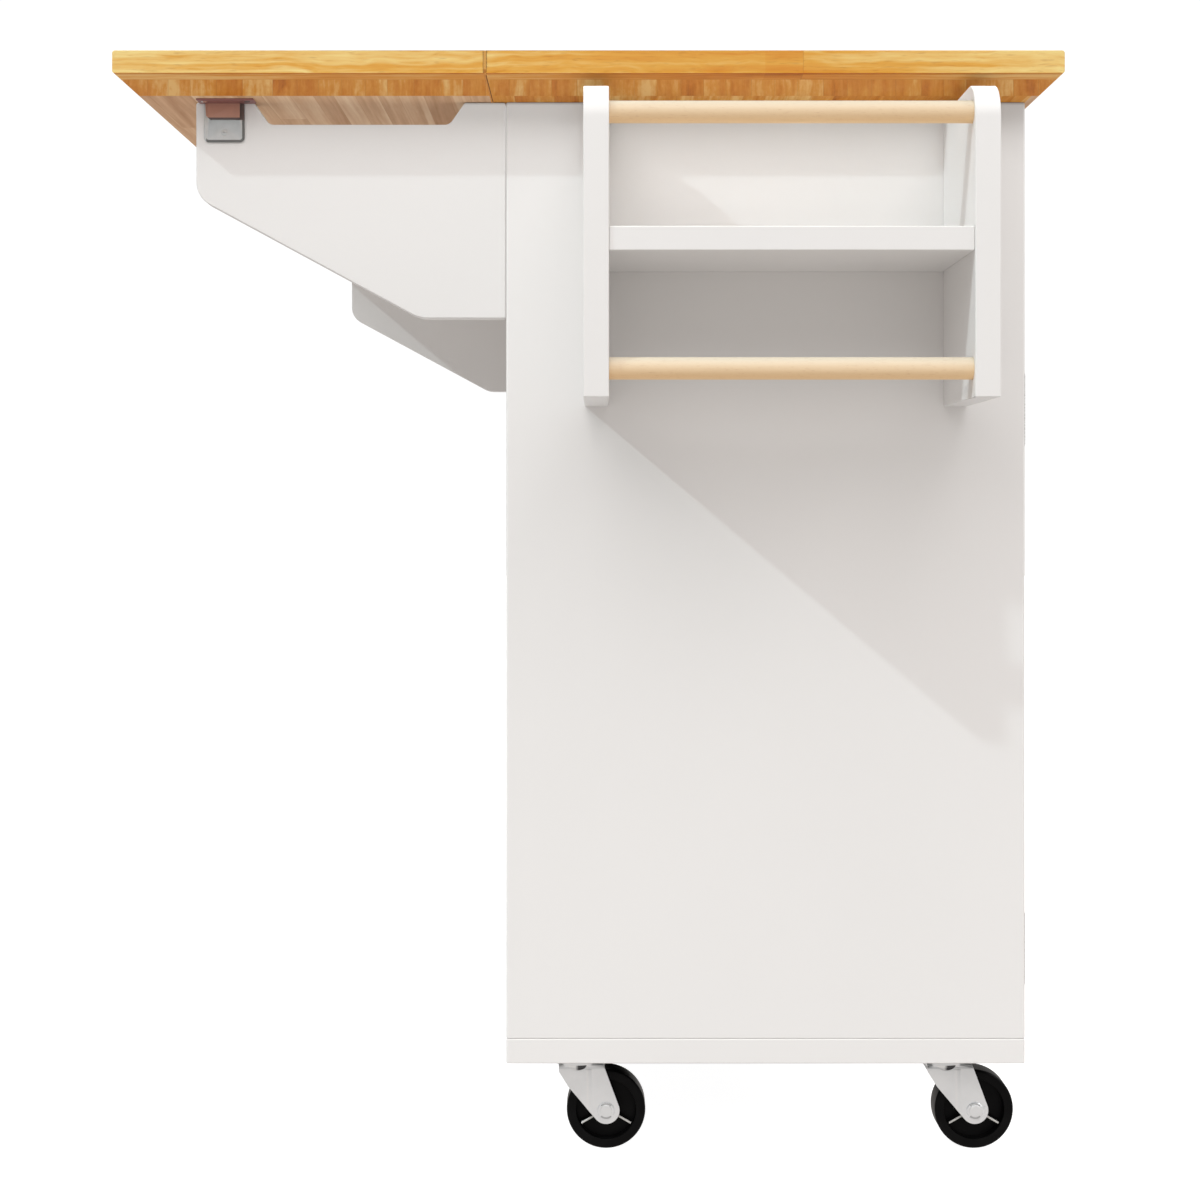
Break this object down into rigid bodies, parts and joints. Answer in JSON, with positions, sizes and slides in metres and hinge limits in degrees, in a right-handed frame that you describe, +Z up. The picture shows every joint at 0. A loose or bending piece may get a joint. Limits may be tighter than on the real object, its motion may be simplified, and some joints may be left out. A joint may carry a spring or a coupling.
{
  "type": "kitchen island",
  "caption": "Rolling kitchen island with a wooden top and drop leaf on fold-out supports, drawers, cupboards, end rack with towel bar, and swivel casters.",
  "frame": {"origin": "middle of the whole footprint, on the floor", "axes": "+X from the drop leaf to the drawers and doors, +Y along the island from the rack end to the plain end, +Z up"},
  "size_m": [0.7672, 1.413, 0.914],
  "materials": {
    "white_paint": "satin white paint on board",
    "rubberwood": "satin oiled, laminated staves",
    "beech_rod": "sanded and clear lacquered",
    "drawer_board": "matte white foil",
    "zinc": "bright zinc plated",
    "steel": "satin plated sheet",
    "nickel": "brushed nickel",
    "black_wheel": "satin black",
    "catch_plastic": "matte"
  },
  "bodies": {
    "root": {"worktop": "rubberwood", "side_panel_near": "white_paint", "side_panel_far": "white_paint", "bottom_board": "white_paint", "back_panel": "white_paint", "partition": "white_paint", "front_stretcher": "white_paint", "back_stretcher": "white_paint", "drawer_rails": "white_paint", "shelf_near": "white_paint", "shelf_far": "white_paint", "shelf_pins": "zinc", "drawer_runners": "zinc", "door_catches": "catch_plastic", "hinge_plates": "steel", "leaf_hinge_plates": "steel", "hinge_pins": "steel", "rack_side_back": "white_paint", "rack_side_front": "white_paint", "rack_shelf": "white_paint", "rack_rail": "beech_rod", "towel_bar": "beech_rod", "caster_plates": "zinc", "caster_screws": "steel", "caster_balls": "steel"},
    "leaf": {"leaf_board": "rubberwood", "leaf_hinge_wings": "steel", "keepers": "steel"},
    "support_near": {"support_near": "white_paint", "support_wings_near": "steel"},
    "support_far": {"support_far": "white_paint", "support_wings_far": "steel"},
    "door_1": {"door_1": "white_paint", "door_knob_1": "nickel", "door_wings_1": "steel"},
    "door_2": {"door_2": "white_paint", "door_knob_2": "nickel", "door_wings_2": "steel"},
    "door_3": {"door_3": "white_paint", "door_knob_3": "nickel", "door_wings_3": "steel"},
    "door_4": {"door_4": "white_paint", "door_knob_4": "nickel", "door_wings_4": "steel"},
    "drawer_1": {"drawer_front_1": "white_paint", "drawer_box_1": "drawer_board", "drawer_knob_1": "nickel", "drawer_slides_1": "zinc"},
    "drawer_2": {"drawer_front_2": "white_paint", "drawer_box_2": "drawer_board", "drawer_knob_2": "nickel", "drawer_slides_2": "zinc"},
    "caster_1": {"caster_fork_1": "zinc"},
    "wheel_1": {"caster_wheel_1": "black_wheel"},
    "caster_2": {"caster_fork_2": "zinc"},
    "wheel_2": {"caster_wheel_2": "black_wheel"},
    "caster_3": {"caster_fork_3": "zinc"},
    "wheel_3": {"caster_wheel_3": "black_wheel"},
    "caster_4": {"caster_fork_4": "zinc"},
    "wheel_4": {"caster_wheel_4": "black_wheel"}
  },
  "joints": [
    {"name": "support_near_fold", "type": "hinge", "parent": "root", "child": "support_near", "pos_m": [-0.0805, -0.5344, 0.8057], "axis": [0, 0, -1], "range_deg": [0, 90]},
    {"name": "support_far_fold", "type": "hinge", "parent": "root", "child": "support_far", "pos_m": [-0.0805, 0.5674, 0.8057], "axis": [0, 0, 1], "range_deg": [0, 90]},
    {"name": "leaf_lift", "type": "hinge", "parent": "root", "child": "leaf", "pos_m": [-0.0899, 0.0165, 0.8943], "axis": [0, 1, 0], "range_deg": [0, 2.5]},
    {"name": "door_1_open", "type": "hinge", "parent": "root", "child": "door_1", "pos_m": [0.3617, -0.53525, 0.4], "axis": [0, 0, -1], "range_deg": [0, 110]},
    {"name": "door_2_open", "type": "hinge", "parent": "root", "child": "door_2", "pos_m": [0.3617, 0.00625, 0.4], "axis": [0, 0, 1], "range_deg": [0, 85]},
    {"name": "door_3_open", "type": "hinge", "parent": "root", "child": "door_3", "pos_m": [0.3617, 0.02675, 0.4], "axis": [0, 0, -1], "range_deg": [0, 85]},
    {"name": "door_4_open", "type": "hinge", "parent": "root", "child": "door_4", "pos_m": [0.3617, 0.56825, 0.4], "axis": [0, 0, 1], "range_deg": [0, 110]},
    {"name": "drawer_1_slide", "type": "slide", "parent": "root", "child": "drawer_1", "axis": [1, 0, 0], "range_m": [0, 0.26]},
    {"name": "drawer_2_slide", "type": "slide", "parent": "root", "child": "drawer_2", "axis": [1, 0, 0], "range_m": [0, 0.26]},
    {"name": "caster_1_swivel", "type": "hinge", "parent": "root", "child": "caster_1", "pos_m": [-0.0184, -0.4995, 0.075], "axis": [0, 0, 1], "continuous": true},
    {"name": "wheel_1_spin", "type": "hinge", "parent": "caster_1", "child": "wheel_1", "pos_m": [0.0061, -0.4995, 0.034], "axis": [0, 1, 0], "continuous": true},
    {"name": "caster_2_swivel", "type": "hinge", "parent": "root", "child": "caster_2", "pos_m": [0.2996, -0.4995, 0.075], "axis": [0, 0, 1], "continuous": true},
    {"name": "wheel_2_spin", "type": "hinge", "parent": "caster_2", "child": "wheel_2", "pos_m": [0.3241, -0.4995, 0.034], "axis": [0, 1, 0], "continuous": true},
    {"name": "caster_3_swivel", "type": "hinge", "parent": "root", "child": "caster_3", "pos_m": [-0.0184, 0.5325, 0.075], "axis": [0, 0, 1], "continuous": true},
    {"name": "wheel_3_spin", "type": "hinge", "parent": "caster_3", "child": "wheel_3", "pos_m": [0.0061, 0.5325, 0.034], "axis": [0, 1, 0], "continuous": true},
    {"name": "caster_4_swivel", "type": "hinge", "parent": "root", "child": "caster_4", "pos_m": [0.2996, 0.5325, 0.075], "axis": [0, 0, 1], "continuous": true},
    {"name": "wheel_4_spin", "type": "hinge", "parent": "caster_4", "child": "wheel_4", "pos_m": [0.3241, 0.5325, 0.034], "axis": [0, 1, 0], "continuous": true}
  ]
}
